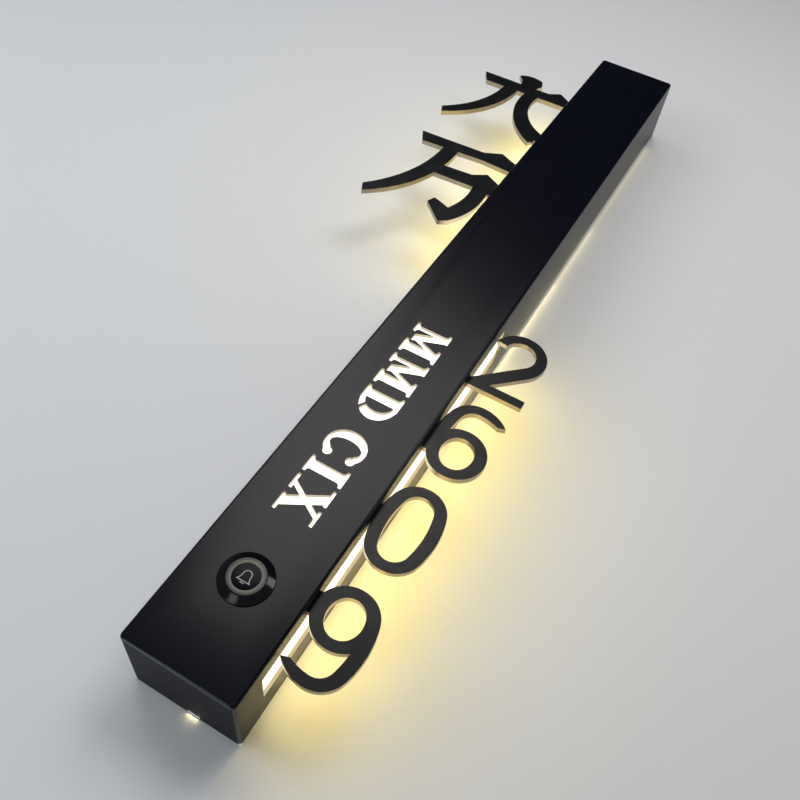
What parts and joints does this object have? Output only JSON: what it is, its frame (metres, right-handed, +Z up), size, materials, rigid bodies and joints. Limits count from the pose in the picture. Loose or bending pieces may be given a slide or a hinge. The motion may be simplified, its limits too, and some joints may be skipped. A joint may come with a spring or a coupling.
{
  "type": "illuminated door number sign",
  "caption": "Upright black box sign for a wall, lit from inside, with numeral plates on one side, character plates on the other, cut-out words and a bell push.",
  "frame": {"origin": "centre of the rear face that lies on the wall, half way up the housing", "axes": "+Z up along the housing, +Y into the wall, so -Y points at the viewer, +X to the viewer's right, where the numerals are"},
  "size_m": [0.1475, 0.0422, 0.5],
  "materials": {
    "black_paint": "satin black powder coat with a fine brushed look",
    "black_plate": "matt black",
    "zinc_sheet": "zinc plated",
    "channel_metal": "mill finish",
    "screw_steel": "bright zinc",
    "black_screw": "black oxide",
    "opal_acrylic": "opal, lit from behind",
    "strip_board": "white strip",
    "light_chip": "yellow phosphor",
    "regulator_case": "fine grain",
    "block_plastic": "satin",
    "grommet_rubber": "matt",
    "bezel_gloss": "gloss black",
    "ring_resin": "smoked translucent",
    "cap_gloss": "gloss black",
    "base_plastic": "satin",
    "blade_metal": "bright",
    "nut_metal": "nickel plated",
    "spring_steel": "bright",
    "lead_sleeve": "satin sleeve"
  },
  "bodies": {
    "root": {"front_housing": "black_paint", "back_plate": "zinc_sheet", "hook_bracket": "zinc_sheet", "end_screws": "black_screw", "right_diffuser": "opal_acrylic", "left_diffuser": "opal_acrylic", "face_diffuser": "opal_acrylic", "right_rail": "channel_metal", "left_rail": "channel_metal", "plate_screws": "screw_steel", "numeral_two": "black_plate", "numeral_six": "black_plate", "numeral_zero": "black_plate", "numeral_nine": "black_plate", "upper_character": "black_plate", "lower_character": "black_plate", "led_channel": "channel_metal", "channel_screws": "screw_steel", "face_led_strip": "strip_board", "right_led_strip": "strip_board", "left_led_strip": "strip_board", "led_chips": "light_chip", "led_regulator": "regulator_case", "terminal_block": "block_plastic", "terminal_screws": "screw_steel", "cable_grommet": "grommet_rubber", "button_body": "bezel_gloss", "button_ring": "ring_resin", "button_base": "base_plastic", "button_seal": "grommet_rubber", "button_nut": "nut_metal", "button_terminals": "blade_metal", "button_spring": "spring_steel", "button_leads": "lead_sleeve", "strip_leads": "lead_sleeve"},
    "bell_button": {"button_cap": "cap_gloss"}
  },
  "joints": [
    {"name": "bell_push", "type": "slide", "parent": "root", "child": "bell_button", "axis": [0, 1, 0], "range_m": [0, 0.0015], "stiffness_N_per_m": 800, "springref_m": -0.001, "deforming": ["button_spring"]}
  ]
}
